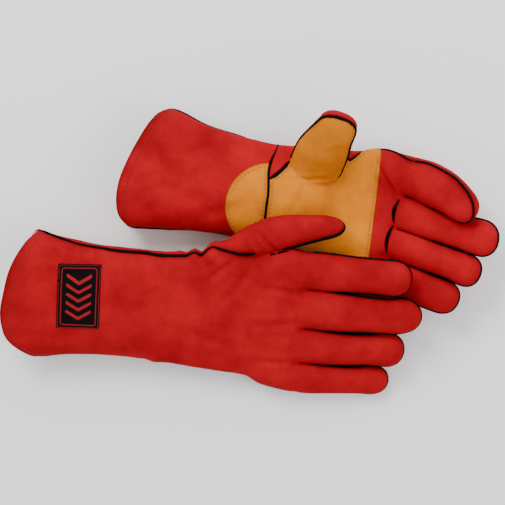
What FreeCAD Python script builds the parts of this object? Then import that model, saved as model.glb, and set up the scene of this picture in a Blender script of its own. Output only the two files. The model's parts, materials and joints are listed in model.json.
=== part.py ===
import FreeCAD, Part
import Sketcher
import math
import os
from FreeCAD import Placement, Rotation, Vector

# A pair of long-cuff leather welding gloves, lying one over the other.
#
# The left glove lies on its back with the palm up. The right glove lies palm down, and its thumb and
# first two fingers rest over the left glove's palm edge and little finger.
#
# Each glove is built in its own straight frame: origin at the middle of the wrist, +X to the fingertips,
# +Y to the thumb and +Z upwards as it lies. The back of the hand is the +Z half of the right glove and
# the -Z half of the left one, so the two gloves are mirror images in their make-up. Every piece is cut
# from nested lofts (tubes) of the cuff, hand, fingers and thumb: one loft for each face of a layer.
#
# Bodies: cuff, hand, four fingers and thumb for each glove. The hand's root sits inside the cuff, and
# each finger's root sits inside the hand, with room to turn about its hinge.

PARTS_FOLDER = "parts"

# ---------------------------------------------------------------- driving dimensions (mm and degrees)
SHARED = {
    "leather": 1.6,
    "lining": 1.0,
    "patch": 1.3,
    "label_cloth": 0.9,
    "layer_gap": 0.15,
    "welt": 1.4,
    "welt_proud": 1.6,
    "thumb_clearance": 1.2,
    "cuff_length": 133.0,
    "hem_radius": 70.0,
    "hem_turn": 6.0,
    "cuff_lining_end": 19.0,
    "wrist_root": 6.0,
    "finger_root": 5.0,
    "thumb_root": 6.0,
    "fourchette_half": 5.0,
    "fourchette_stop": 10.0,
    "patch_start": 8.0,
    "tab_radius": 33.0,
    "tab_side": -10.0,
    "label_along": 35.0,
    "label_across": 51.0,
    "label_place": -73.0,
    "label_turn": 3.0,
}

GLOVE = {
    # name: (right glove, left glove)
    "rim_half_width": (55.0, 49.0),
    "rim_half_height": (24.0, 28.5),
    "cuff_mid_half_width": (51.0, 45.5),
    "cuff_mid_half_height": (21.0, 24.5),
    "cuff_end_half_width": (48.0, 44.0),
    "cuff_end_half_height": (19.2, 20.4),
    "hand_root_half_width": (44.4, 40.3),
    "hand_root_half_height": (15.8, 17.0),
    "hand_mid_half_width": (56.0, 52.0),
    "hand_mid_half_height": (16.2, 15.6),
    "hand_end_half_width": (61.0, 57.0),
    "hand_end_half_height": (14.8, 14.6),
    "knuckle": (125.0, 118.0),
    "patch_end": (96.0, 89.0),
    "patch_outer_edge": (-48.0, -42.0),
    "patch_thumb_edge": (48.0, 50.0),
    "palm_stop": (2.0, 9.0),
    "thumb_hinge_x": (52.0, 39.0),
    "thumb_hinge_y": (42.0, 25.0),
    "thumb_length": (92.0, 88.0),
    "thumb_half_width": (14.5, 15.5),
    "thumb_half_height": (12.4, 13.6),
}

# finger: (length past its hinge, half width, half height, across the hand, swing, lift), each (right, left)
FINGERS = {
    "index": ((76.0, 74.0), (14.7, 13.5), (11.6, 12.0), (43.4, 39.8), (0.0, -8.5), (2.0, 40.0)),
    "middle": ((89.0, 87.0), (14.7, 13.1), (11.7, 12.0), (13.1, 12.3), (0.4, -6.5), (0.0, 25.0)),
    "ring": ((77.0, 76.0), (14.7, 13.5), (11.6, 12.0), (-17.2, -15.2), (1.4, -7.5), (-3.0, 22.0)),
    "little": ((68.0, 67.0), (12.4, 11.6), (11.2, 11.4), (-45.2, -41.2), (2.2, -13.0), (-5.0, 25.0)),
}

# where each glove's wrist lies, and how it is turned, tipped and rolled
LAYOUT = {
    "wrist_x": (-69.6, 4.4),
    "wrist_y": (-63.4, 40.8),
    "wrist_z": (30.9, 22.3),
    "cuff_turn": (2.5, -3.8),
    "hand_turn": (1.9, -5.5),
    "cuff_lift": (-2.0, -3.0),
    "hand_lift": (0.0, -3.0),
    "roll": (19.0, 2.0),
    "thumb_swing": (27.5, 95.0),
    "thumb_lift": (0.0, 50.0),
}

# How far each thumb's room in the hand reaches about its hinge, in degrees, with a little over its own swing
THUMB_RANGE = {"right": (0.0, 18.0), "left": (-22.0, 8.0)}
SIDES = ("right", "left")
FOURCHETTES = {"index": (-1,), "middle": (-1, 1), "ring": (-1, 1), "little": (1,)}

# A fingertip: (share of the length, share of the half width) from the root to the rounded end
FINGER_OUTLINE = ((0.0, 1.0), (0.45, 0.98), (0.76, 0.93), (0.91, 0.76), (0.975, 0.5), (1.0, 0.16))
BIG = 600.0
UP = Vector(0, 0, 1)
STAND_UP = Rotation(Vector(1, 1, 1), 120)  # a section drawn in XY is stood across X: its width along Y


class Glove:
    """Makes the document's objects for both gloves, and keeps the finished sub-parts by name."""

    def __init__(self):
        self.doc = FreeCAD.newDocument("welding_gloves")
        self.sheet = self.doc.addObject("Spreadsheet::Sheet", "Dims")
        self.row = 0
        self.values = {}
        self.finished = {}
        for name, value in SHARED.items():
            self.cell(name, value)
        for table in (GLOVE, LAYOUT):
            for name, pair in table.items():
                for side, value in zip(SIDES, pair):
                    self.cell(f"{side}_{name}", value)
        fields = ("length", "half_width", "half_height", "across", "swing", "lift")
        for finger, pairs in FINGERS.items():
            for field, pair in zip(fields, pairs):
                for side, value in zip(SIDES, pair):
                    self.cell(f"{side}_{finger}_{field}", value)
        self.doc.recompute()

    def cell(self, name, value):
        self.row += 1
        self.sheet.set(f"A{self.row}", name)
        self.sheet.set(f"B{self.row}", str(value))
        self.sheet.setAlias(f"B{self.row}", name)
        self.values[name] = value

    # ------------------------------------------------------------ sections and lofts
    def ellipse(self, at, width, height, name):
        """An elliptical section across X. at, width and height are expressions in the sheet's names."""
        e = self.doc.addObject("Part::Ellipse", name)
        e.Placement = Placement(Vector(), STAND_UP)
        e.setExpression("MajorRadius", width)
        e.setExpression("MinorRadius", height)
        e.setExpression("Placement.Base.x", at)
        return e

    def slot(self, at, width, height, name):
        """A section across X with flat top and bottom and round sides, as a constrained sketch."""
        s = self.doc.addObject("Sketcher::SketchObject", name)
        s.Placement = Placement(Vector(), STAND_UP)
        s.setExpression("Placement.Base.x", at)
        up, quarter, c, r = Vector(0, 0, 1), math.pi / 2, 20.0, 10.0
        s.addGeometry(Part.ArcOfCircle(Part.Circle(Vector(c, 0, 0), up, r), -quarter, quarter))
        s.addGeometry(Part.LineSegment(Vector(c, r, 0), Vector(-c, r, 0)))
        s.addGeometry(Part.ArcOfCircle(Part.Circle(Vector(-c, 0, 0), up, r), quarter, 3 * quarter))
        s.addGeometry(Part.LineSegment(Vector(-c, -r, 0), Vector(c, -r, 0)))
        for first, second in ((0, 1), (1, 2), (2, 3), (3, 0)):
            s.addConstraint(Sketcher.Constraint("Tangent", first, 2, second, 1))
        s.addConstraint(Sketcher.Constraint("Symmetric", 0, 3, 2, 3, -1, 1))
        s.addConstraint(Sketcher.Constraint("PointOnObject", 0, 3, -1))
        s.addConstraint(Sketcher.Constraint("Equal", 0, 2))
        radius = s.addConstraint(Sketcher.Constraint("Radius", 0, r))
        spread = s.addConstraint(Sketcher.Constraint("DistanceX", 2, 3, 0, 3, 2 * c))
        s.renameConstraint(radius, "half_height")
        s.renameConstraint(spread, "flat")
        s.setExpression("Constraints.half_height", height)
        s.setExpression("Constraints.flat", f"2 * (({width}) - ({height}))")
        return s

    def loft(self, name, sections, make):
        """A solid loft through sections, each (at, width, height), straight from each one to the next."""
        made = [make(*section, f"{name}_section{n}") for n, section in enumerate(sections)]
        body = self.doc.addObject("Part::Loft", name)
        body.Sections = made
        body.Solid = True
        body.Ruled = True
        return body

    # ------------------------------------------------------------ tools
    def box(self, name, low, high):
        """A box between two corners. A corner's number may be an expression."""
        b = self.doc.addObject("Part::Box", name)
        for axis, size, a, c in zip("xyz", ("Length", "Width", "Height"), low, high):
            b.setExpression(f"Placement.Base.{axis}", str(a))
            b.setExpression(size, f"({c}) - ({a})")
        return b

    def slab(self, name, sizes, placement):
        """A box of those sizes, which may be expressions, with its lowest corner at a placement."""
        b = self.doc.addObject("Part::Box", name)
        for size, value in zip(("Length", "Width", "Height"), sizes):
            b.setExpression(size, str(value))
        b.Placement = placement
        return b

    def cylinder(self, name, radius, height, base, axis):
        c = self.doc.addObject("Part::Cylinder", name)
        c.setExpression("Radius", str(radius))
        c.Height = height
        turn = Rotation(Vector(0, 0, 1), axis)
        c.Placement = Placement(base - axis * (height / 2), turn)
        return c

    def cut(self, name, base, tool):
        c = self.doc.addObject("Part::Cut", name)
        c.Base, c.Tool = base, tool
        return c

    def common(self, name, *shapes):
        c = self.doc.addObject("Part::MultiCommon", name)
        c.Shapes = list(shapes)
        return c

    def fuse(self, name, *shapes):
        f = self.doc.addObject("Part::MultiFuse", name)
        f.Shapes = list(shapes)
        return f

    def finish(self, node, shape, placement):
        """Names a finished sub-part and puts it where it lies."""
        shape.Label = node
        shape.Placement = placement
        self.finished[node] = shape

    def dim(self, name):
        return self.values[name]


def ref(name):
    return f"Dims.{name}"


def frames(glove, side):
    """Where each body of one glove lies: its own straight frame carried into the pair's frame."""
    d = lambda name: glove.dim(f"{side}_{name}")
    wrist = Vector(d("wrist_x"), d("wrist_y"), d("wrist_z"))

    def turned(base, turn, lift, roll=0.0):
        spin = Rotation(UP, turn) * Rotation(Vector(0, 1, 0), -lift) * Rotation(Vector(1, 0, 0), roll)
        return Placement(base, spin)

    found = {
        body: turned(wrist, d(f"{body}_turn"), d(f"{body}_lift"), d("roll")) for body in ("cuff", "hand")
    }
    for finger in FINGERS:
        root = Vector(d("knuckle"), d(f"{finger}_across"), 0)
        found[finger] = found["hand"] * turned(root, d(f"{finger}_swing"), d(f"{finger}_lift"))
    root = Vector(d("thumb_hinge_x"), d("thumb_hinge_y"), 0)
    found["thumb"] = found["hand"] * turned(root, d("thumb_swing"), d("thumb_lift"))
    return found


def layers(glove, prefix, sections):
    """The nested lofts of an open tube, one for each face of its layers.

    sections are (at, half width, half height) expressions at the leather's outer face.
    """
    leather, gap = ref("leather"), ref("layer_gap")
    depths = {
        "proud": f"(-1 * {ref('welt_proud')})",
        "cover": f"(-1 * {gap} - {ref('patch')})",
        "laid": f"(-1 * {gap})",
        "outer": "0",
        "inner": leather,
        "lined": f"({leather} + {gap})",
        "hollow": f"({leather} + {gap} + {ref('lining')})",
    }
    made = {}
    for layer, depth in depths.items():
        moved = [(at, f"({width}) - {depth}", f"({height}) - {depth}") for at, width, height in sections]
        made[layer] = glove.loft(f"{prefix}_{layer}", moved, glove.slot)
    return made


def halves(glove, prefix):
    """The space above and below the seam, and the thin slab between that the welt fills."""
    half = f"{ref('welt')} / 2"
    return {
        "top": glove.box(f"{prefix}_top_half", (-BIG, -BIG, half), (BIG, BIG, BIG)),
        "bottom": glove.box(f"{prefix}_bottom_half", (-BIG, -BIG, -BIG), (BIG, BIG, f"-{half}")),
        "seam": glove.box(f"{prefix}_seam_slab", (-BIG, -BIG, f"-{half}"), (BIG, BIG, half)),
    }


def root_keeper(glove, prefix, radius, back):
    """Keeps what is ahead of a hinge along Y at the origin, and a rounded root that can turn behind it."""
    barrel = glove.cylinder(f"{prefix}_barrel", radius, BIG, Vector(), Vector(0, 1, 0))
    behind = glove.box(f"{prefix}_behind", (f"-{back}", -BIG, -BIG), (BIG, BIG, BIG))
    rounded = glove.common(f"{prefix}_round_root", barrel, behind)
    ahead = glove.box(f"{prefix}_ahead", (0, -BIG, -BIG), (BIG, BIG, BIG))
    return glove.fuse(f"{prefix}_keep", rounded, ahead)


# -------------------------------------------------------------------------------- cuff
def make_cuff(glove, side, half, place):
    """The gauntlet: back and front leather, side welts, the welt round the wrist, lining, and patch tab."""
    s = lambda name: ref(f"{side}_{name}")
    length = ref("cuff_length")
    sections = [
        (f"-{length}", s("rim_half_width"), s("rim_half_height")),
        (f"-{length} / 2", s("cuff_mid_half_width"), s("cuff_mid_half_height")),
        ("-0.4", s("cuff_end_half_width"), s("cuff_end_half_height")),
    ]
    tube = layers(glove, f"{side}_cuff", sections)
    back, front = ("top", "bottom") if side == "right" else ("bottom", "top")

    # the hem is cut to a bold curve, further out in the middle of the back and front than at the sides
    length_mm, hem = glove.dim("cuff_length"), glove.dim("hem_radius")
    centre = Vector(hem - length_mm, 0, 0)
    disc = glove.cylinder(f"{side}_hem_disc", ref("hem_radius"), BIG, centre, UP)
    inner_radius = f"{ref('hem_radius')} - {ref('hem_turn')}"
    inner_disc = glove.cylinder(f"{side}_hem_inner", inner_radius, BIG, centre, UP)
    ahead = glove.box(f"{side}_hem_ahead", (centre.x, -BIG, -BIG), (BIG, BIG, BIG))
    trim = glove.fuse(f"{side}_hem_trim", disc, ahead)
    inner_trim = glove.fuse(f"{side}_hem_inner_trim", inner_disc, ahead)

    wall = glove.cut(f"{side}_cuff_wall", tube["outer"], tube["inner"])
    shell = glove.common(f"{side}_cuff_shell", wall, trim)
    glove.finish(f"{side}_cuff_back", glove.common(f"{side}_cuff_back_cut", shell, half[back]), place)
    glove.finish(f"{side}_cuff_front", glove.common(f"{side}_cuff_front_cut", shell, half[front]), place)

    skin = glove.cut(f"{side}_cuff_welt_ring", tube["proud"], tube["inner"])
    side_welts = glove.common(f"{side}_cuff_side_welts", skin, half["seam"], inner_trim)

    ring = glove.box(f"{side}_wrist_welt_band", (-2.4, -BIG, -BIG), (-0.6, BIG, BIG))
    collar = glove.cut(f"{side}_wrist_collar", tube["proud"], tube["laid"])
    wrist_welt = glove.common(f"{side}_wrist_welt", collar, ring, half[front])
    welts = glove.doc.addObject("Part::Compound", f"{side}_cuff_welt_set")
    welts.Links = [side_welts, wrist_welt]
    glove.finish(f"{side}_cuff_welts", welts, place)

    fleece = glove.cut(f"{side}_cuff_fleece", tube["lined"], tube["hollow"])
    stop = glove.box(f"{side}_cuff_lining_stop", (-BIG, -BIG, -BIG), (f"-{ref('cuff_lining_end')}", BIG, BIG))
    lining = glove.common(f"{side}_cuff_lining_cut", fleece, inner_trim, stop)
    glove.finish(f"{side}_cuff_lining", lining, place)

    # the patch runs on over the wrist seam as a half-round tab on the cuff's palm side
    tab_centre = Vector(-2, glove.dim("tab_side"), 0)
    round_tab = glove.cylinder(f"{side}_tab_disc", ref("tab_radius"), BIG, tab_centre, UP)
    before_seam = glove.box(f"{side}_tab_stop", (-BIG, -BIG, -BIG), (-2.8, BIG, BIG))
    cover = glove.cut(f"{side}_cuff_cover", tube["cover"], tube["laid"])
    tab = glove.common(f"{side}_tab_cut", cover, round_tab, before_seam, half[front])
    glove.finish(f"{side}_cuff_tab", tab, place)

    if side == "right":
        make_label(glove, sections, tube["laid"], place)


def make_label(glove, sections, laid, place):
    """The rectangular cloth label on the right cuff's back, following the leather's curve."""
    centre = Placement(Vector(glove.dim("label_place"), 0, 0), Rotation(UP, glove.dim("label_turn")))
    corner = Placement(Vector(-glove.dim("label_along") / 2, -glove.dim("label_across") / 2, 0), Rotation())
    outline = glove.slab("label_outline", (ref("label_along"), ref("label_across"), BIG), centre * corner)
    rise = f"{ref('label_cloth')} + {ref('layer_gap')}"
    cloth = [(at, f"({w}) + {rise}", f"({h}) + {rise}") for at, w, h in sections]
    sheet = glove.cut("label_sheet", glove.loft("label_face", cloth, glove.slot), laid)
    glove.finish("right_cuff_label", glove.common("label_cut", sheet, outline), place)


# -------------------------------------------------------------------------------- hand
def make_hand(glove, side, half, place, thumb_room):
    """Back and palm leather, the palm patch, the side welts, and the lining bag's hand part."""
    s = lambda name: ref(f"{side}_{name}")
    end = f"{s('knuckle')} - 2"
    sections = [
        ("-8", s("hand_root_half_width"), s("hand_root_half_height")),
        (f"{s('knuckle')} * 0.5", s("hand_mid_half_width"), s("hand_mid_half_height")),
        (end, s("hand_end_half_width"), s("hand_end_half_height")),
    ]
    tube = layers(glove, f"{side}_hand", sections)
    back, front = ("top", "bottom") if side == "right" else ("bottom", "top")
    keep_radius = f"{s('cuff_end_half_height')} - {ref('leather')} - 0.5"
    keep = root_keeper(glove, f"{side}_hand", keep_radius, ref("wrist_root"))

    wall = glove.cut(f"{side}_hand_wall", tube["outer"], tube["inner"])
    shell = glove.cut(f"{side}_hand_shell", glove.common(f"{side}_hand_kept", wall, keep), thumb_room)
    glove.finish(f"{side}_hand_back", glove.common(f"{side}_hand_back_cut", shell, half[back]), place)
    palm_end = f"{s('knuckle')} - {s('palm_stop')}"
    palm_run = glove.box(f"{side}_palm_run", (-BIG, -BIG, -BIG), (palm_end, BIG, BIG))
    glove.finish(f"{side}_palm", glove.common(f"{side}_palm_cut", shell, half[front], palm_run), place)

    start = ref("patch_start")
    outline = glove.box(
        f"{side}_patch_outline",
        (start, s("patch_outer_edge"), -BIG),
        (s("patch_end"), s("patch_thumb_edge"), BIG),
    )
    cover = glove.cut(f"{side}_palm_cover", tube["cover"], tube["laid"])
    whole = glove.common(f"{side}_palm_patch_whole", cover, outline, half[front])
    glove.finish(f"{side}_palm_patch", glove.cut(f"{side}_palm_patch_cut", whole, thumb_room), place)

    skin = glove.cut(f"{side}_hand_welt_ring", tube["proud"], tube["inner"])
    run = glove.box(f"{side}_hand_welt_run", (4, -BIG, -BIG), (end, BIG, BIG))
    whole = glove.common(f"{side}_hand_welt_whole", skin, half["seam"], run)
    glove.finish(f"{side}_hand_side_welts", glove.cut(f"{side}_hand_welt_cut", whole, thumb_room), place)

    fleece = glove.cut(f"{side}_hand_fleece", tube["lined"], tube["hollow"])
    run = glove.box(f"{side}_fleece_run", (2, -BIG, -BIG), (f"{s('knuckle')} - 15", BIG, BIG))
    bag = glove.common(f"{side}_fleece_kept", fleece, run)
    return glove.cut(f"{side}_fleece_cut", bag, thumb_room)


# -------------------------------------------------------------------------------- fingers and thumb
def finger_tube(glove, side, finger):
    """A finger's nested lofts along X from its hinge, with a rounded tip."""
    s = lambda name: ref(f"{side}_{finger}_{name}")
    length = s("length")
    sections = [(f"-{ref('finger_root')}", s("half_width"), s("half_height"))]
    for along, share in FINGER_OUTLINE[1:]:
        wide, tall = (f"{s(size)} * {share}" for size in ("half_width", "half_height"))
        sections.append((f"{length} * {along}", wide, tall))
    return tip_layers(glove, f"{side}_{finger}", sections)


def tip_layers(glove, prefix, sections):
    """As layers(), for a tube with a closed tip: each layer is a smaller finger, shorter by its depth."""
    leather, gap = ref("leather"), ref("layer_gap")
    depths = {
        "proud": f"(-1 * {ref('welt_proud')})",
        "outer": "0",
        "inner": leather,
        "lined": f"({leather} + {gap})",
        "hollow": f"({leather} + {gap} + {ref('lining')})",
    }
    root_width, root_height = sections[0][1:]
    last = sections[-1][0]
    made = {}
    for layer, depth in depths.items():
        moved = []
        for n, (at, width, height) in enumerate(sections):
            place = at if n == 0 else f"({at}) * (1 - {depth} / ({last}))"
            w = f"({width}) * (1 - {depth} / ({root_width}))"
            h = f"({height}) * (1 - {depth} / ({root_height}))"
            moved.append((place, w, h))
        made[layer] = glove.loft(f"{prefix}_{layer}", moved, glove.ellipse)
    return made


def make_finger(glove, side, finger, half, place):
    """Back and front leather, the side strips between fingers, and the welt; returns the lining's stall."""
    s = lambda name: ref(f"{side}_{finger}_{name}")
    name = f"{side}_{finger}"
    tube = finger_tube(glove, side, finger)
    back, front = ("top", "bottom") if side == "right" else ("bottom", "top")
    keep_radius = f"{ref(side + '_hand_end_half_height')} - {ref('leather')} - 0.6"
    keep = root_keeper(glove, name, keep_radius, ref("finger_root"))
    wall = glove.cut(f"{name}_wall", tube["outer"], tube["inner"])
    shell = glove.common(f"{name}_shell", wall, keep)

    strip, stop = ref("fourchette_half"), f"{s('length')} - {ref('fourchette_stop')}"
    strips = []
    for way in FOURCHETTES[finger]:
        low, high = (3, BIG) if way > 0 else (-BIG, -3)
        strips.append(glove.box(f"{name}_strip{way}", (-BIG, low, f"-{strip}"), (stop, high, strip)))
    strips = strips[0] if len(strips) == 1 else glove.fuse(f"{name}_strips", *strips)
    glove.finish(f"{name}_fourchettes", glove.common(f"{name}_fourchettes_cut", shell, strips), place)
    for node, part in ((f"{name}_back", back), (f"{name}_front", front)):
        piece = glove.common(f"{node}_half", shell, half[part])
        glove.finish(node, glove.cut(f"{node}_cut", piece, strips), place)

    run = glove.box(f"{name}_welt_tip", (stop, -BIG, -BIG), (BIG, BIG, BIG))
    if len(FOURCHETTES[finger]) == 1:
        low, high = (1, BIG) if FOURCHETTES[finger][0] < 0 else (-BIG, -1)
        outer_side = glove.box(f"{name}_welt_side", (3, low, -BIG), (BIG, high, BIG))
        run = glove.fuse(f"{name}_welt_run", run, outer_side)
    skin = glove.cut(f"{name}_welt_ring", tube["proud"], tube["inner"])
    glove.finish(f"{name}_welt", glove.common(f"{name}_welt_cut", skin, half["seam"], run), place)
    return stall(glove, name, tube, place)


def stall(glove, name, tube, place):
    """The lining inside a finger or thumb."""
    fleece = glove.cut(f"{name}_stall", tube["lined"], tube["hollow"])
    fleece.Placement = place
    return fleece


def thumb_tube(glove, side):
    s = lambda name: ref(f"{side}_thumb_{name}")
    outline = ((0.4, 1.04), (0.74, 0.98), (0.9, 0.8), (0.972, 0.52), (1.0, 0.18))
    sections = [(f"-{ref('thumb_root')}", s("half_width"), s("half_height"))]
    for along, share in outline:
        wide, tall = (f"{s(size)} * {share}" for size in ("half_width", "half_height"))
        sections.append((f"{s('length')} * {along}", wide, tall))
    return sections


def make_thumb(glove, side, half, place):
    """Back leather, the patch-leather front and the welt all round; returns the lining's stall."""
    name = f"{side}_thumb"
    tube = tip_layers(glove, name, thumb_tube(glove, side))
    back, front = ("top", "bottom") if side == "right" else ("bottom", "top")
    wall = glove.cut(f"{name}_wall", tube["outer"], tube["inner"])
    for node, part in ((f"{name}_back", back), (f"{name}_front", front)):
        glove.finish(node, glove.common(f"{node}_cut", wall, half[part]), place)
    skin = glove.cut(f"{name}_welt_ring", tube["proud"], tube["inner"])
    run = glove.box(f"{name}_welt_run", (4, -BIG, -BIG), (BIG, BIG, BIG))
    glove.finish(f"{name}_welt", glove.common(f"{name}_welt_cut", skin, half["seam"], run), place)
    return stall(glove, name, tube, place)


def make_thumb_room(glove, side, hand_place, thumb_place):
    """What the hand gives up for the thumb's root to swing: a box round it at three places of its range."""
    room = glove.dim("welt_proud") + glove.dim("thumb_clearance")
    half_width = glove.dim(f"{side}_thumb_half_width") + room
    half_height = glove.dim(f"{side}_thumb_half_height") + room
    corner = Placement(Vector(-glove.dim("thumb_root") - 2, -half_width, -half_height), Rotation())
    local = hand_place.inverse() * thumb_place
    low, high = THUMB_RANGE[side]
    steps = []
    for n, angle in enumerate((low, (low + high) / 2, high)):
        swing = Placement(local.Base, Rotation(UP, angle) * local.Rotation)
        sizes = (BIG, 2 * half_width, 2 * half_height)
        steps.append(glove.slab(f"{side}_thumb_room{n}", sizes, swing * corner))
    return glove.fuse(f"{side}_thumb_room", *steps)


def make_glove(glove, side):
    place = frames(glove, side)
    half = halves(glove, side)
    make_cuff(glove, side, half, place["cuff"])
    room = make_thumb_room(glove, side, place["hand"], place["thumb"])
    bag = make_hand(glove, side, half, place["hand"], room)
    bag.Placement = place["hand"]
    stalls = [make_finger(glove, side, finger, half, place[finger]) for finger in FINGERS]
    stalls.append(make_thumb(glove, side, half, place["thumb"]))
    lining = glove.doc.addObject("Part::Compound", f"{side}_lining_bag")
    lining.Links = [bag] + stalls
    glove.finish(f"{side}_lining", lining, Placement())
    return place


def check(doc, finished):
    for obj in doc.Objects:
        if {"Invalid", "Error"} & set(obj.State):
            raise RuntimeError(f"{obj.Name} failed: {obj.State}")
    for node, obj in finished.items():
        if obj.Shape.isNull() or not obj.Shape.isValid() or not obj.Shape.Solids:
            raise RuntimeError(f"{node} has no valid solid")


def main():
    glove = Glove()
    places = {side: make_glove(glove, side) for side in SIDES}
    glove.doc.recompute()
    check(glove.doc, glove.finished)
    os.makedirs(PARTS_FOLDER, exist_ok=True)
    for node, obj in sorted(glove.finished.items()):
        obj.Shape.exportStep(f"{PARTS_FOLDER}/{node}.step")
        box = obj.Shape.BoundBox
        spans = ((box.XMin, box.XMax), (box.YMin, box.YMax), (box.ZMin, box.ZMax))
        reach = "  ".join(f"{low:7.1f} {high:7.1f}" for low, high in spans)
        print(f"{node:28s} solids {len(obj.Shape.Solids)} volume {obj.Shape.Volume:9.0f}  box {reach}")
    return glove, places


if __name__ == "__main__":
    main()
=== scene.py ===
"""A pair of red split-leather welding gauntlets, palm-down right glove over palm-up left glove.

Each glove is one implicit surface: a flattened tube for the cuff and hand, and a rounded tube along a bent
centreline for each finger and the thumb, joined smoothly. The surface is meshed on a grid and cut along the
seams into leather panels of real thickness, with welts, stitches, patches, a label and a lining laid on it.

Shapes are in millimetres in a glove's hand frame: origin at the wrist, +X to the fingertips, +Y to the thumb,
+Z off the floor. The frames come from the CAD model's joints and mounts.
"""

import json
import math

import bpy
import numpy as np
from mathutils import Matrix, Vector


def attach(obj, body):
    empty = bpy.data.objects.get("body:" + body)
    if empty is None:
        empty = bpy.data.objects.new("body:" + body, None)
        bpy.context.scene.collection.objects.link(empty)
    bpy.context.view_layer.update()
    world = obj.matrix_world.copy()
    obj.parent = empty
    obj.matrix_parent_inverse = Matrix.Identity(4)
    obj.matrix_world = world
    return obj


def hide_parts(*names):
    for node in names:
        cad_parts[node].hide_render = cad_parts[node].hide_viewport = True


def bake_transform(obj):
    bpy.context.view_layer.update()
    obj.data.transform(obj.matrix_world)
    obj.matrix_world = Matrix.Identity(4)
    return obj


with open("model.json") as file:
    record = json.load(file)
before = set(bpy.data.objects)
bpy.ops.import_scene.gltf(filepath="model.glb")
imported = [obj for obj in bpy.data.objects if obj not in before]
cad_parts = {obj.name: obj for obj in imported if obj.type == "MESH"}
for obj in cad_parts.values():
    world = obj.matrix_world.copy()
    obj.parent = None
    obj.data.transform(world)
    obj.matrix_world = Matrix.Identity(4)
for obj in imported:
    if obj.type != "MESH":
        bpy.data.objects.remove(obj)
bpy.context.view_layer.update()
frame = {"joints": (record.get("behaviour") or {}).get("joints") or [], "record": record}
JOINTS = {j["name"]: j for j in frame["joints"]}
MOUNTS = {m["name"]: m for m in frame["record"]["mounts"]}

MM = 0.001
CELL = 1.5  # grid spacing of the implicit surfaces, mm
FAR = 60.0  # distance given to grid points that are nowhere near a finger, mm

LEATHER = 1.6
LINING = 1.1
PATCH = 1.4
LABEL = 0.9
PATCH_BELOW = 10.0  # the right palm's patch stays this far under the hand's middle, out of sight from above
FINGERS = ("index", "middle", "ring", "little")
SIDES = ("right", "left")

# ------------------------------------------------------------------------------------ the gloves' shapes
# Stations along the cuff and hand: x, edge on the thumb's side, edge on the little finger's side,
# half thickness on the back, half thickness on the palm's side.
BODY = {
    "right": (
        (-140, 57.5, -60.0, 22.5, 23.0),
        (-118, 57.0, -58.0, 22.5, 23.0),
        (-98, 53.0, -55.5, 21.5, 22.0),
        (-74, 48.5, -51.0, 20.5, 20.5),
        (-48, 46.5, -48.5, 19.5, 19.5),
        (-20, 46.0, -48.0, 18.5, 18.5),
        (0, 47.0, -50.5, 17.5, 17.0),
        (28, 51.0, -51.5, 16.5, 15.5),
        (56, 55.5, -52.5, 16.0, 14.5),
        (86, 60.0, -55.5, 15.2, 14.0),
        (112, 61.0, -61.0, 14.0, 13.5),
        (126, 61.0, -62.0, 13.0, 13.0),
    ),
    "left": (
        (-136, 54.0, -54.0, 29.0, 29.0),
        (-112, 54.0, -52.0, 27.5, 28.0),
        (-90, 52.5, -48.5, 26.0, 26.5),
        (-72, 47.0, -45.5, 24.0, 24.5),
        (-44, 43.0, -42.5, 21.5, 22.5),
        (-18, 41.0, -41.0, 18.5, 20.0),
        (0, 42.5, -42.0, 17.0, 18.5),
        (24, 47.0, -46.0, 16.0, 17.5),
        (52, 50.5, -51.0, 15.4, 16.5),
        (84, 55.0, -55.5, 15.0, 15.0),
        (106, 57.0, -57.0, 14.0, 14.0),
        (120, 56.0, -57.0, 13.0, 13.0),
    ),
}
# The open end of the cuff: x at each y, from the little finger's side to the thumb's.
HEM = {
    "right": (
        (-62, -90), (-54.6, -104.4), (-46, -117.8), (-37, -127.4), (-24, -132.5), (-10, -134.4), (5, -132.9),
        (25, -129.6), (44, -121.5), (53, -114), (60, -101),
    ),
    "left": (
        (-60, -92), (-51, -109), (-45, -117.5), (-35, -123), (-17, -125.6), (1, -123.4), (21, -118.4),
        (40, -111.5), (48, -106), (52.5, -99), (58, -84),
    ),
}

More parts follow.
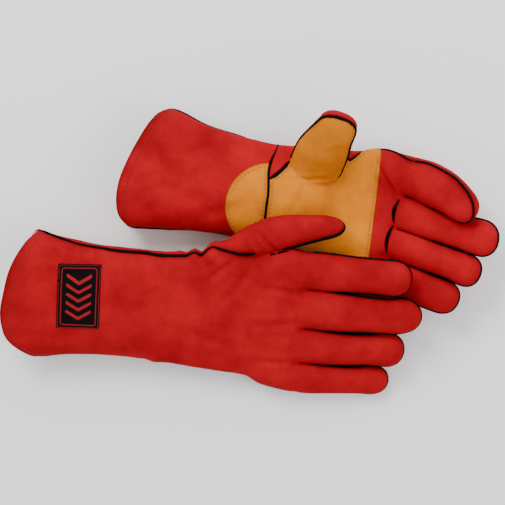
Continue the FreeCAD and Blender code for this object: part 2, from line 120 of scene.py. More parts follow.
# Centrelines (x, y, z) of the fingers and thumb, half width and half thickness at the root, the widest share
# near the tip, and the roll of the seams about the centreline in degrees.
DIGITS = {
    "right": {
        "index": dict(
            path=((92, 44, 1), (122, 44.5, 1), (150, 45, 2), (178, 45.5, 1), (200.5, 45.5, 0)),
            wide=15.6, deep=11.6, tip=0.95, seam=(0, 0),
        ),
        "middle": dict(
            path=((92, 13, 0), (122, 12, 0), (152, 12, 1), (184, 12.5, 0), (213, 13, -1)),
            wide=18.2, deep=12.0, tip=0.79, narrows=0.42, seam=(0, 0),
        ),
        "ring": dict(
            path=((92, -20, 0), (122, -22, -1), (150, -21.5, -2), (178, -20, -4), (202, -20.5, -5)),
            wide=15.8, deep=11.6, tip=0.93, seam=(0, 0),
        ),
        "little": dict(
            path=((92, -47, 0), (122, -50.5, -2), (150, -49.8, -4), (172, -49, -6), (192, -49, -7)),
            wide=14.0, deep=10.8, tip=0.92, seam=(0, 0),
        ),
        "thumb": dict(
            path=(
                (34, 30, -2), (50, 46, -3), (68, 62, -2), (85, 72.5, -2), (106, 78, -3), (124, 81.5, -4),
                (140.5, 84, -5),
            ),
            wide=14.6, deep=11.8, tip=0.58, narrows=0.52, seam=(-9.0, 5.0),
        ),
    },
    "left": {
        "index": dict(
            path=((88, 41, 0), (114, 41, 3), (136, 37.5, 19), (153, 29.5, 34), (165, 21, 44)),
            wide=17.6, deep=12.4, tip=0.78, narrows=0.5, seam=(8.0, -4.0),
        ),
        "middle": dict(
            path=((88, 11, 0), (114, 10.5, 1), (142, 8.5, 12), (170, 6.0, 25), (191, 5.2, 36)),
            wide=16.0, deep=12.0, tip=0.95, seam=(1.0, 0),
        ),
        "ring": dict(
            path=((88, -15, 0), (114, -16.2, 1), (138, -18.5, 9), (164, -21.5, 21), (184, -25, 30)),
            wide=14.6, deep=12.0, tip=0.95, seam=(1.0, 0),
        ),
        "little": dict(
            path=((88, -41, 0), (112, -42.5, 1), (132, -45, 7), (152, -48, 14), (173, -51.5, 20)),
            wide=14.8, deep=11.4, tip=0.97, seam=(0, 0),
        ),
        "thumb": dict(
            path=((22, 4, -6), (28, 22, 3), (31, 40, 23), (35, 58, 45), (37.8, 70, 60), (38.3, 76.5, 67.5)),
            wide=21.2, deep=12.6, tip=0.73, narrows=0.5, root=1.12, blunt=0.5, seam=(3.5, 3.5),
        ),
    },
}
CROTCH = {"right": 117.0, "left": 110.0}  # where the finger pieces take over from the hand, x
WRIST_SEAM = -2.0
PATCH_END = {"right": 94.0, "left": 88.0}
TAB = {"right": (-1.0, -8.0, 34.0), "left": (-1.0, -9.5, 35.0)}
PALM_SIDE = {"right": -1.0, "left": 1.0}


# ------------------------------------------------------------------------------------ frames
class Frame:
    """A right-handed frame in the row frame, which turns millimetres there into metres here."""

    def __init__(self, origin, x_axis, z_axis):
        x = np.array(x_axis, float)
        x /= np.linalg.norm(x)
        z = np.array(z_axis, float)
        z -= x * (z @ x)
        z /= np.linalg.norm(z)
        self.origin = np.array(origin, float)
        self.axes = np.array((x, np.cross(z, x), z))

    def out(self, points):
        return np.asarray(points, float) * MM @ self.axes + self.origin

    def into(self, points):
        return (np.asarray(points, float) - self.origin) @ self.axes.T / MM

    def turn(self, vectors):
        return np.asarray(vectors, float) @ self.axes


def hand_frame(side):
    """The hand's frame, from its wrist hinge and its thumb's swing axis, which is the hand's normal."""
    wrist, thumb = JOINTS[f"{side}_wrist_bend"], JOINTS[f"{side}_thumb_swing"]
    towards_thumb = np.array(wrist["axis"], float) * -PALM_SIDE[side]
    normal = np.array(thumb["axis"], float)
    return Frame(wrist["pos_m"], np.cross(towards_thumb, normal), normal)


HAND = {side: hand_frame(side) for side in SIDES}


def cuff_slope(side):
    """How far the cuff's line leaves the hand's, across and up, for each millimetre back from the wrist."""
    mouth = HAND[side].into(MOUNTS[f"{side}_cuff_mouth"]["pos_m"])
    return mouth[1] / mouth[0], mouth[2] / mouth[0]


# ------------------------------------------------------------------------------------ small maths
def unit(vectors):
    """Each row at length one."""
    return vectors / (np.linalg.norm(vectors, axis=1)[:, None] + 1e-12)


def lengths_along(points):
    """How far along a line each of its points is."""
    return np.concatenate(([0], np.cumsum(np.linalg.norm(np.diff(points, axis=0), axis=1))))


def read_at(where, along, rows):
    """Rows that lie at those places along a line, read at others."""
    return np.stack([np.interp(where, along, column) for column in rows.T], 1)


def curve_through(points, count):
    """count points, evenly spaced in length, on a smooth curve through the given ones."""
    p = np.array(points, float)
    steps = lengths_along(p)
    fine = np.linspace(0, steps[-1], 12 * len(p))
    q = np.stack([cubic(steps, column)(fine) for column in p.T], 1)
    along = lengths_along(q)
    return read_at(np.linspace(0, along[-1], count), along, q)


def cubic(xs, ys):
    """A smooth curve through the points, level at a peak or dip, as a function of arrays."""
    xs, ys = np.array(xs, float), np.array(ys, float)
    slope = np.diff(ys) / np.diff(xs)
    tangent = np.concatenate((slope[:1], (slope[1:] + slope[:-1]) / 2, slope[-1:]))
    flat = np.concatenate(([False], slope[1:] * slope[:-1] <= 0, [False]))
    tangent[flat] = 0

    def value(x):
        x = np.clip(x, xs[0], xs[-1])
        i = np.clip(np.searchsorted(xs, x) - 1, 0, len(xs) - 2)
        width = xs[i + 1] - xs[i]
        u = (x - xs[i]) / width
        return (
            ys[i] * (1 + 2 * u) * (1 - u) ** 2
            + ys[i + 1] * u * u * (3 - 2 * u)
            + width * (tangent[i] * u * (1 - u) ** 2 - tangent[i + 1] * u * u * (1 - u))
        )

    return value


def step(a, b, x):
    """0 before a, 1 after b, smooth between."""
    u = np.clip((x - a) / (b - a), 0, 1)
    return u * u * (3 - 2 * u)


def bump(x, width):
    return np.exp(-((x / width) ** 2))


def soft_min(a, b, k):
    """The smaller of two distances, with a fillet of about k."""
    blend = np.clip(0.5 + 0.5 * (b - a) / k, 0, 1)
    return b + (a - b) * blend - k * blend * (1 - blend)


def soft_max(a, b, k):
    return -soft_min(-a, -b, k)


def noise(points, size, seed=0):
    """Smooth noise in -1 to 1 with features of about size, at each point."""
    p = np.asarray(points, float) / size + 37.7 * seed + 1000.0
    cell = np.floor(p).astype(np.int64)
    f = p - cell
    f = f * f * (3 - 2 * f)
    total = 0
    for corner in range(8):
        offset = np.array([corner & 1, corner >> 1 & 1, corner >> 2 & 1])
        c = cell + offset
        n = c[:, 0] * 73856093 ^ c[:, 1] * 19349663 ^ c[:, 2] * 83492791
        n = (n ^ n >> 13) * 1274126177 & 0x7FFFFFFF
        n = (n ^ n >> 16) & 0xFFFF
        weight = np.prod(np.where(offset, f, 1 - f), axis=1)
        total = total + weight * (n / 32767.5 - 1)
    return total


# ------------------------------------------------------------------------------------ implicit shapes
def flattened(lateral, vertical, beyond, wide, deep, cap, power):
    """Roughly the distance to a rounded tube of that half width and depth, with a cap past its end."""
    a, b, c = np.abs(lateral) / wide, np.abs(vertical) / deep, np.maximum(beyond, 0) / cap
    total = a**power + b**power + c**power + 1e-9
    radius = total ** (1 / power)
    pull = [part ** (power - 1) / size for part, size in ((a, wide), (b, deep), (c, cap))]
    slope = np.sqrt(pull[0] ** 2 + pull[1] ** 2 + pull[2] ** 2)
    return (radius - 1) / (total ** (1 / power - 1) * slope + 1e-4)


class Digit:
    """A finger or thumb: a tube along a bent centreline."""

    def __init__(self, path, wide, deep, tip, seam, narrows=0.35, root=1.0, blunt=1.05):
        self.line = curve_through(path, 26)
        tangent = unit(np.gradient(self.line, axis=0))
        self.across = unit(np.cross((0, 0, 1.0), tangent))
        self.above = np.cross(tangent, self.across)
        self.length = lengths_along(self.line)[-1]
        self.wide, self.deep, self.cap = wide, deep, blunt * wide
        self.tip, self.narrows, self.root, self.seam = tip, narrows, root, seam

    def point_at(self, along):
        """A point of the centreline, at that distance from its start."""
        return self.line[np.searchsorted(np.linspace(0, self.length, len(self.line)), along)]

    def coordinates(self, points):
        """For each point: how far along the line it is, how far to its side and how far above it."""
        best = np.full(len(points), np.inf)
        along, lateral, vertical = (np.zeros(len(points)) for _ in range(3))
        piece = self.length / (len(self.line) - 1)
        for k in range(len(self.line) - 1):
            a, b = self.line[k], self.line[k + 1]
            last = k == len(self.line) - 2
            rel = points - a
            t = rel @ (b - a) / ((b - a) @ (b - a))
            t = np.clip(t, 0 if k else -9, 9 if last else 1)
            gap = rel - t[:, None] * (b - a)
            reach = np.einsum("ij,ij->i", gap, gap) + (np.maximum(t - 1, 0) * piece) ** 2
            closer = reach < best
            best[closer] = reach[closer]
            u = np.clip(t, 0, 1)[:, None]
            side = self.across[k] * (1 - u) + self.across[k + 1] * u
            above = self.above[k] * (1 - u) + self.above[k + 1] * u
            along[closer] = ((k + t) * piece)[closer]
            lateral[closer] = np.einsum("ij,ij->i", gap, side)[closer]
            vertical[closer] = np.einsum("ij,ij->i", gap, above)[closer]
        return along, lateral, vertical

    def distance(self, points):
        d = np.full(len(points), FAR)
        low, high = self.line.min(0) - 30, self.line.max(0) + 30
        near = np.all((points > low) & (points < high), axis=1)
        along, lateral, vertical = self.coordinates(points[near])
        share = 1 + (self.tip - 1) * step(self.narrows * self.length, self.length, along)
        share = share * (self.root + (1 - self.root) * step(0, 0.45 * self.length, along))
        beyond = np.maximum(along - (self.length - self.cap), -along)
        d[near] = flattened(lateral, vertical, beyond, self.wide * share, self.deep * share, self.cap, 2.25)
        return d

    def seam_gap(self, points):
        """How far each point is above the digit's seam, and its place along and across."""
        along, lateral, vertical = self.coordinates(points)
        share = step(-0.6 * self.wide, 0.6 * self.wide, lateral)
        return vertical - (self.seam[0] * share + self.seam[1] * (1 - share)), along, lateral


class Glove:
    """One glove's implicit surface, in millimetres in its hand frame."""

    def __init__(self, side, above=None):
        self.side, self.palm = side, PALM_SIDE[side]
        self.frame = HAND[side]
        self.slope = cuff_slope(side)
        table = np.array(BODY[side], float)
        self.edge_thumb, self.edge_little, self.deep_back, self.deep_palm = (
            cubic(table[:, 0], table[:, k]) for k in range(1, 5)
        )
        self.digits = {name: Digit(**shape) for name, shape in DIGITS[side].items()}
        self.crotch = CROTCH[side]
        self.above = above  # the distance, in millimetres at row points, to the glove lying on this one

    def straightened(self, points):
        """Points with the cuff's small bend at the wrist taken out."""
        back = np.minimum(points[:, 0], 0)
        back = back * step(0, -30, points[:, 0])
        return points - np.stack((0 * back, back * self.slope[0], back * self.slope[1]), 1)

    def body_distance(self, points):
        p = self.straightened(points)
        x = p[:, 0]
        top, bottom = self.edge_thumb(x), self.edge_little(x)
        deep = np.where(p[:, 2] * self.palm < 0, self.deep_back(x), self.deep_palm(x))
        beyond = x - (self.crotch - 16)
        return flattened(p[:, 1] - (top + bottom) / 2, p[:, 2], beyond, (top - bottom) / 2, deep, 13.0, 2.35)

    def relief(self, points):
        """Folds, creases and soft unevenness of the leather, in millimetres out."""
        p = self.straightened(points)
        stretched = p * np.array((1.0, 0.55, 1.0))
        out = 0.9 * noise(stretched, 38, 1) + 0.45 * noise(stretched, 17, 2) + 0.16 * noise(p, 7, 3)
        if self.side == "right":
            edge = step(42, 50, p[:, 1])
            for x0, width, height in GATHERS:
                out = out + height * edge * bump(p[:, 0] - x0, width)
        gather = bump(p[:, 0] + 4, 16)
        out = out + gather * 0.8 * noise(p * np.array((1.0, 0.35, 0.6)), 8, 4)
        for x0, y0, direction, reach, width, depth in FOLDS[self.side]:
            c, s = math.cos(math.radians(direction)), math.sin(math.radians(direction))
            u = (p[:, 0] - x0) * c + (p[:, 1] - y0) * s
            v = -(p[:, 0] - x0) * s + (p[:, 1] - y0) * c
            v = v + 0.12 * width * noise(p, 14, 6) * 3 - 0.0016 * u * u
            facing = 1.0 if depth > 0 else -1.0
            on_side = step(-2, 6, -facing * self.palm * p[:, 2])
            along = bump(u, reach / 2)
            ridges = 0.7 * bump(np.abs(v) - 1.6 * width, width)
            out = out + abs(depth) * along * on_side * (ridges - bump(v, width))
        return out

    def finished(self, points, d):
        """A smooth distance with the leather's relief, the floor and the other glove's weight on it."""
        near = d < 5
        spots = points[near]
        row = self.frame.out(spots)
        surface = soft_max(d[near] - self.relief(spots), 0.4 - row[:, 2] / MM, 5.0)
        if self.above is not None:
            surface = soft_max(surface, 0.5 - self.above(row), 3.0)
        d = d.copy()
        d[near] = surface
        return d

    def hand(self, points):
        """The cuff and hand with the roots of the fingers and thumb."""
        body = self.body_distance(points)
        thumb = self.digits["thumb"]
        along = np.full(len(points), -FAR)
        near = np.all((points > thumb.line.min(0) - 30) & (points < thumb.line.max(0) + 30), axis=1)
        along[near] = thumb.coordinates(points[near])[0]
        cut = THUMB_CUT[self.side]
        root = np.maximum(thumb.distance(points), along - cut - 2)
        body = soft_min(body, root, 0.5 + 9 * step(cut, cut - 22, along))
        parts = [soft_min(body, d, 6.0) for d in self.pressed(points, FINGERS)]
        return self.finished(points, np.minimum.reduce(parts))

    def pressed(self, points, names):
        """Distances to the named fingers, each flattened where it meets its neighbours."""
        alone = {name: self.digits[name].distance(points) for name in FINGERS}
        found = []
        for name in names:
            d = alone[name]
            for other in FINGERS:
                if other != name:
                    d = soft_max(d, (alone[name] - alone[other]) / 2 + 0.3, 1.5)
            found.append(d)
        return found

    def finger(self, name, points):
        d = soft_min(self.body_distance(points), self.pressed(points, (name,))[0], 6.0)
        return self.finished(points, d)

    def thumb(self, points):
        return self.finished(points, self.digits["thumb"].distance(points))

    def whole(self, points):
        """The outside of the glove, without its relief, for the other one to rest under."""
        body = soft_min(self.body_distance(points), self.digits["thumb"].distance(points), 9.0)
        fingers = [self.digits[name].distance(points) for name in FINGERS]
        return np.minimum.reduce([soft_min(body, finger, 6.0) for finger in fingers])

    def seam_height(self, points):
        """Height above the seam that parts back and palm, on the cuff and hand; positive on the back."""
        p = self.straightened(points)
        thumb_side, little_side = SEAM_LIFT[self.side]
        lift = little_side + (thumb_side - little_side) * step(-20, 25, p[:, 1])
        height = p[:, 2] - lift * step(95, 45, p[:, 0]) * step(-112, -66, p[:, 0])
        reach = np.full(len(points), np.inf)
        root = height.copy()
        front = p[:, 0] > 60
        for name in FINGERS:
            d = np.full(len(points), np.inf)
            d[front] = self.digits[name].distance(points[front])
            nearer = front & (d < reach)
            reach[nearer] = d[nearer]
            root[nearer] = self.digits[name].seam_gap(points[nearer])[0]
        own = step(80, self.crotch - 3, p[:, 0])
        return -self.palm * (height * (1 - own) + root * own)


# Gathers in the leather where the right glove's thumb is sewn in: x, width, and height.
GATHERS = ((34, 5.5, 3.4), (26, 2.6, -1.6), (20, 4.5, 2.2), (13, 2.4, -1.0), (8, 3.5, 1.0))

# Folds in the leather: x, y, direction in degrees, length, width, and depth (negative on the palm's side).
FOLDS = {
    "right": (
        (62, 34, 58, 46, 3.4, 1.1),
        (34, -20, -14, 60, 5.0, 1.0),
        (6, 22, 84, 40, 4.0, 1.0),
        (-12, -24, 98, 44, 4.4, 1.2),
        (96, -2, 8, 40, 3.6, 0.9),
        (97, -36, 4, 36, 3.4, 1.0),
        (98, 27, -4, 38, 3.2, 0.9),
        (-70, 30, 20, 50, 6.0, 0.9),
        (-88, -30, 12, 60, 6.0, 0.9),
        (79, 67, -44, 26, 2.2, 1.3),
        (44, 40, 40, 30, 3.0, 1.1),
    ),
    "left": (
        (33, 22, 18, 44, 1.5, -1.5),
        (93, 31, -48, 34, 2.0, -1.7),
        (24, 2, 74, 40, 4.0, -0.8),
        (70, 4, 96, 60, 4.5, -0.8),
        (-60, 24, 12, 60, 6.0, -1.2),
        (-78, -16, -8, 70, 7.0, -1.0),
        (-34, -20, 30, 40, 5.0, -0.9),
    ),
}
SEAM_LIFT = {"right": (5.0, -4.0), "left": (-6.0, -6.0)}  # on the thumb's side and the little finger's
THUMB_CUT = {"right": 46.0, "left": 36.0}  # where the thumb's own pieces take over, along its centreline


# ------------------------------------------------------------------------------------ meshing
class Mesh:
    """Triangles with a normal at each vertex, and named numbers carried by the vertices."""

    def __init__(self, points, faces, normals, **extra):
        self.points, self.faces, self.normals, self.extra = points, faces, normals, extra

    def only(self, faces):
        used, packed = np.unique(faces, return_inverse=True)
        extra = {k: v[used] for k, v in self.extra.items()}
        return Mesh(self.points[used], packed.reshape(-1, 3), self.normals[used], **extra)


def sample(grid, where):
    """Trilinear reading of a grid at points given in cells."""
    top = np.array(grid.shape) - 2
    low = np.clip(np.floor(where).astype(int), 0, top)
    f = np.clip(where - low, 0, 1)
    total = 0
    for corner in range(8):
        o = np.array([corner & 1, corner >> 1 & 1, corner >> 2 & 1])
        weight = np.prod(np.where(o, f, 1 - f), axis=1)
        total = total + weight * grid[low[:, 0] + o[0], low[:, 1] + o[1], low[:, 2] + o[2]]
    return total


def surface_net(grid):
    """Vertices, in cells, and triangles of the grid's zero surface, facing its positive side."""
    inside = grid < 0
    shape = np.array(grid.shape) - 1
    corners = [np.array([c & 1, c >> 1 & 1, c >> 2 & 1]) for c in range(8)]
    windows = [tuple(slice(o[k], o[k] + shape[k]) for k in range(3)) for o in corners]
    count = sum(inside[window].astype(np.int8) for window in windows)
    cells = np.argwhere((count > 0) & (count < 8))
    index = np.full(tuple(shape), -1)
    index[tuple(cells.T)] = np.arange(len(cells))
    values = [grid[tuple((cells + o).T)] for o in corners]
    position, hits = np.zeros((len(cells), 3)), np.zeros(len(cells))
    for a in range(8):
        for b in range(a + 1, 8):
            if np.abs(corners[a] - corners[b]).sum() != 1:
                continue
            crosses = (values[a] < 0) != (values[b] < 0)
            t = values[a][crosses] / (values[a][crosses] - values[b][crosses])
            position[crosses] += corners[a] + t[:, None] * (corners[b] - corners[a])
            hits[crosses] += 1
    points = cells + position / hits[:, None]
    triangles = []
    for axis in range(3):
        unit = np.eye(3, dtype=int)
        side, other = unit[(axis + 1) % 3], unit[(axis + 2) % 3]
        lower = [slice(None)] * 3
        upper = [slice(None)] * 3
        lower[axis], upper[axis] = slice(None, -1), slice(1, None)
        first, second = inside[tuple(lower)], inside[tuple(upper)]
        edges = np.argwhere(first != second)
        edges = edges[np.all(edges - side - other >= 0, axis=1) & np.all(edges < shape, axis=1)]
        outward = first[tuple(edges.T)]
        ring = [index[tuple((edges + o).T)] for o in (0 * side, -side, -side - other, -other)]
        quad = np.stack(ring, 1)
        quad[~outward] = quad[~outward][:, ::-1]
        quad = quad[np.all(quad >= 0, axis=1)]
        short = np.linalg.norm(points[quad[:, 0]] - points[quad[:, 2]], axis=1)
        long = np.linalg.norm(points[quad[:, 1]] - points[quad[:, 3]], axis=1)
        first_way = (short <= long)[:, None]
        triangles.append(np.where(first_way, quad[:, [0, 1, 2]], quad[:, [0, 1, 3]]))
        triangles.append(np.where(first_way, quad[:, [0, 2, 3]], quad[:, [1, 2, 3]]))
    return points, np.concatenate(triangles)


class Lattice:
    """A box of grid points, aligned with every other lattice of the same glove."""

    def __init__(self, low, high):
        self.low = np.floor(np.array(low, float) / CELL).astype(int)
        self.size = np.ceil(np.array(high, float) / CELL).astype(int) - self.low + 1
        ticks = [(self.low[k] + np.arange(self.size[k])) * CELL for k in range(3)]
        self.points = np.stack(np.meshgrid(*ticks, indexing="ij"), -1).reshape(-1, 3)

    def mesh(self, values):
        """The zero surface, with its vertices moved onto it exactly and normals from the distance's slope."""
        grid = values.reshape(tuple(self.size))
        points, faces = surface_net(grid)
        slope = [g / CELL for g in np.gradient(grid)]
        for _ in range(2):
            d = sample(grid, points)
            g = np.stack([sample(s, points) for s in slope], 1)
            move = d[:, None] * g / (np.einsum("ij,ij->i", g, g)[:, None] + 1e-9) / CELL
            points = points - np.clip(move, -0.4, 0.4)
        g = np.stack([sample(s, points) for s in slope], 1)
        return Mesh((points + self.low) * CELL, faces, unit(g))


def clip(mesh, field):
    """The part of a mesh where field is positive, cut cleanly along its zero line."""
    inside = field > 0
    count = inside[mesh.faces].sum(1)
    whole = mesh.faces[count == 3]
    one, two = mesh.faces[count == 1], mesh.faces[count == 2]

    def lead_with(faces, wanted):
        """Turns each triangle so that its odd corner comes first."""
        first = np.argmax(inside[faces] == wanted, axis=1)
        rows = np.arange(len(faces))
        return [faces[rows, (first + k) % 3] for k in range(3)]

    a1, b1, c1 = lead_with(one, True)
    a2, b2, c2 = lead_with(two, False)
    pairs = np.concatenate([np.stack(pair, 1) for pair in ((a1, b1), (a1, c1), (a2, b2), (a2, c2))])
    if not len(pairs):
        return mesh.only(whole)
    pairs.sort(axis=1)
    unique, where = np.unique(pairs, axis=0, return_inverse=True)
    where = where.ravel() + len(mesh.points)
    t = field[unique[:, 0]] / (field[unique[:, 0]] - field[unique[:, 1]])

    def added(values):
        weight = t.reshape(-1, *([1] * (values.ndim - 1)))
        return np.concatenate((values, values[unique[:, 0]] * (1 - weight) + values[unique[:, 1]] * weight))

    n1, n2 = len(a1), len(a2)
    ab1, ac1, ab2, ac2 = np.split(where, (n1, 2 * n1, 2 * n1 + n2))
    cut = [np.stack(corners, 1) for corners in ((a1, ab1, ac1), (ab2, b2, c2), (ab2, c2, ac2))]
    faces = np.concatenate((whole, *cut))
    extra = {k: added(v) for k, v in mesh.extra.items()}
    return Mesh(added(mesh.points), faces, unit(added(mesh.normals)), **extra).only(faces)


def boundary(faces):
    """The directed edges that only one triangle has."""
    edges = np.concatenate((faces[:, [0, 1]], faces[:, [1, 2]], faces[:, [2, 0]]))
    key = np.sort(edges, axis=1)
    _, first, count = np.unique(key, axis=0, return_index=True, return_counts=True)
    return edges[first[count == 1]]


def contour(mesh, field, least=12.0):
    """The lines on a mesh where field is zero, as (points, normals, closed), but none shorter than least."""
    inside = field > 0
    crossing = mesh.faces[np.isin(inside[mesh.faces].sum(1), (1, 2))]
    edges = np.stack([crossing[:, [0, 1]], crossing[:, [1, 2]], crossing[:, [2, 0]]], 1)
    edges = np.sort(edges, axis=2)
    cut = inside[edges[..., 0]] != inside[edges[..., 1]]
    pairs = edges[cut]
    unique, where = np.unique(pairs, axis=0, return_inverse=True)
    t = (field[unique[:, 0]] / (field[unique[:, 0]] - field[unique[:, 1]]))[:, None]
    points = mesh.points[unique[:, 0]] * (1 - t) + mesh.points[unique[:, 1]] * t
    normals = mesh.normals[unique[:, 0]] * (1 - t) + mesh.normals[unique[:, 1]] * t
    links = {}
    for a, b in where.reshape(-1, 2):
        links.setdefault(int(a), []).append(int(b))
        links.setdefault(int(b), []).append(int(a))
    lines, left = [], set(links)
    ends = [k for k in links if len(links[k]) == 1]
    for start in ends + sorted(links):
        if start not in left:
            continue
        left.discard(start)
        line, here = [start], start
        while True:
            onward = [k for k in links[here] if k in left]
            if not onward:
                break
            here = onward[0]
            left.discard(here)
            line.append(here)
        closed = len(line) > 3 and line[0] in links[line[-1]] and start not in ends
        if closed:
            line.append(line[0])
        if lengths_along(points[line])[-1] > least:
            lines.append((points[line], normals[line], closed))
    return lines


def even_line(points, normals, spacing, passes=3):
    """A contour smoothed and spaced evenly."""
    along = lengths_along(points)
    where = np.linspace(0, along[-1], max(int(round(along[-1] / spacing)) + 1, 3))
    p, n = read_at(where, along, points), read_at(where, along, normals)
    for rows in (p, n) * passes:
        rows[1:-1] = (rows[:-2] + 2 * rows[1:-1] + rows[2:]) / 4
    return p, unit(n)


# ------------------------------------------------------------------------------------ making objects
class Build:
    """Triangles gathered for one object: points, faces, a normal for each corner."""

    def __init__(self):
        self.points, self.faces, self.corner_normals, self.shade, self.size = [], [], [], [], 0

    def add(self, points, faces, corner_normals, shade=None):
        self.points.append(points)
        self.faces.append(faces + self.size)
        self.corner_normals.append(corner_normals)
        self.shade.append(np.zeros(len(points)) if shade is None else shade)
        self.size += len(points)

    def shell(self, mesh, outer, inner):
        """A closed sheet from outer to inner, both measured out from the mesh along its normals."""
        outer = np.broadcast_to(outer, len(mesh.points))[:, None]
        inner = np.broadcast_to(inner, len(mesh.points))[:, None]
        n = len(mesh.points)
        points = np.concatenate((mesh.points + mesh.normals * outer, mesh.points + mesh.normals * inner))
        edge = boundary(mesh.faces)
        start, end = edge.T
        rim = np.concatenate((np.stack((end, start, start + n), 1), np.stack((end, start + n, end + n), 1)))
        corners = points[rim]
        across = unit(np.cross(corners[:, 1] - corners[:, 0], corners[:, 2] - corners[:, 0]))
        faces = np.concatenate((mesh.faces, mesh.faces[:, ::-1] + n, rim))
        corner = np.concatenate(
            (
                mesh.normals[mesh.faces],
                -mesh.normals[mesh.faces[:, ::-1]],
                np.repeat(across[:, None], 3, axis=1),
            )
        )
        shade = mesh.extra.get("shade", np.zeros(n))
        self.add(points, faces, corner, np.concatenate((shade, shade)))

    def sweep(self, points, normals, profile, closed, scale):
        """A strip along a line on the surface, its (across, out) profile scaled by scale at each point."""
        tangent = np.gradient(points, axis=0)
        if closed:
            tangent[0] = tangent[-1] = points[1] - points[-2]
        tangent = unit(tangent)
        across = unit(np.cross(normals, tangent))
        out = np.cross(tangent, across)
        m, n = len(profile), len(points)
        profile = np.array(profile, float)
        section = profile[None] * scale[:, None, None]
        ring = points[:, None] + across[:, None] * section[..., :1] + out[:, None] * section[..., 1:]
        direction = unit(profile - (0, profile[:, 1].mean()))
        normal = across[:, None] * direction[None, :, 0, None] + out[:, None] * direction[None, :, 1, None]
        i, k = np.meshgrid(np.arange(n - 1), np.arange(m), indexing="ij")
        a, b = i * m + k, i * m + (k + 1) % m
        c, d = a + m, b + m
        faces = np.concatenate([np.stack(half, -1).reshape(-1, 3) for half in ((a, b, d), (a, d, c))])
        corner = normal.reshape(-1, 3)[faces]
        if not closed:
            fan = np.stack((np.zeros(m - 2, int), np.arange(2, m), np.arange(1, m - 1)), 1)
            ends = np.concatenate((fan, fan[:, ::-1] + (n - 1) * m))
            facing = np.repeat((-tangent[0], tangent[-1]), m - 2, axis=0)
            faces = np.concatenate((faces, ends))
            corner = np.concatenate((corner, np.repeat(facing[:, None], 3, axis=1)))
        self.add(ring.reshape(-1, 3), faces, corner)

    def object(self, name, placed, material):
        """Makes the Blender object, in the row frame."""
        points = np.concatenate(self.points)
        faces = np.concatenate(self.faces)
        normals = placed.turn(np.concatenate(self.corner_normals).reshape(-1, 3))
        world = placed.out(points)
        data = bpy.data.meshes.new(name)
        data.vertices.add(len(world))
        data.vertices.foreach_set("co", world.astype(np.float32).ravel())
        data.loops.add(faces.size)
        data.loops.foreach_set("vertex_index", faces.astype(np.int32).ravel())
        data.polygons.add(len(faces))
        data.polygons.foreach_set("loop_start", np.arange(0, faces.size, 3, dtype=np.int32))
        data.update(calc_edges=True)
        data.polygons.foreach_set("use_smooth", np.ones(len(faces), bool))
        rest = data.attributes.new("rest", "FLOAT_VECTOR", "POINT")
        rest.data.foreach_set("vector", world.astype(np.float32).ravel())
        shade = data.attributes.new("shade", "FLOAT", "POINT")
        shade.data.foreach_set("value", np.concatenate(self.shade).astype(np.float32))
        data.normals_split_custom_set(normals)
        data.materials.append(material)
        obj = bpy.data.objects.new(name, data)
        bpy.context.scene.collection.objects.link(obj)
        return obj


# ------------------------------------------------------------------------------------ materials
def linear(r, g, b):
    """A screen colour, 0 to 255, as the linear one that shaders take."""
    return (*(c / 255 / 12.92 if c <= 10 else ((c / 255 + 0.055) / 1.055) ** 2.4 for c in (r, g, b)), 1.0)


def dimmed(colour, share):
    return (*(share * c for c in colour[:3]), 1.0)


class Nodes:
    """A small helper that adds and links shader nodes."""

    def __init__(self, name):
        self.material = bpy.data.materials.new(name)
        self.material.use_nodes = True
        self.tree = self.material.node_tree
        self.shader = self.tree.nodes["Principled BSDF"]

    def add(self, kind, settings=(), **inputs):
        node = self.tree.nodes.new(kind)
        for key, value in dict(settings).items():
            setattr(node, key, value)
        for key, value in inputs.items():
            self.feed(node.inputs[int(key[1:]) if key[0] == "i" and key[1:].isdigit() else key], value)
        return node.outputs[0]

    def feed(self, socket, value):
        if isinstance(value, bpy.types.NodeSocket):
            self.tree.links.new(value, socket)
        else:
            socket.default_value = value

    def finish(self, **inputs):
        """Feeds the shader's own inputs, named with _ for their spaces."""
        for name, value in inputs.items():
            self.feed(self.shader.inputs[name.replace("_", " ")], value)
        return self.material

    def rest(self):
        return self.add("ShaderNodeAttribute", {"attribute_name": "rest"}).node.outputs["Vector"]

    def shade(self):
        return self.add("ShaderNodeAttribute", {"attribute_name": "shade"}).node.outputs["Fac"]

    def noise(self, scale, detail=2.0, rough=0.5, stretch=None):
        where = self.rest()
        if stretch is not None:
            where = self.add("ShaderNodeVectorMath", {"operation": "MULTIPLY"}, i0=where, i1=stretch)
        return self.add("ShaderNodeTexNoise", {}, Vector=where, Scale=scale, Detail=detail, Roughness=rough)

    def ramp(self, value, *stops):
        node = self.tree.nodes.new("ShaderNodeValToRGB")
        self.feed(node.inputs[0], value)
        elements = node.color_ramp.elements
        while len(elements) < len(stops):
            elements.new(0.5)
        for element, (place, colour) in zip(elements, stops):
            element.position = place
            element.color = colour if len(colour) == 4 else (*colour, 1.0)
        return node.outputs[0]

    def mix(self, kind, factor, a, b):
        settings = {"data_type": "RGBA", "blend_type": kind}
        node = self.add("ShaderNodeMix", settings, i0=factor, i6=a, i7=b).node
        return node.outputs[2]

    def maths(self, operation, a, b=0.0):
        return self.add("ShaderNodeMath", {"operation": operation}, i0=a, i1=b)

    def bump(self, height, distance, strength, before=None):
        node = self.add("ShaderNodeBump", {}, Height=height, Distance=distance, Strength=strength)
        if before is not None:
            self.feed(node.node.inputs["Normal"], before)
        return node


def grey(value):
    return (value, value, value, 1.0)


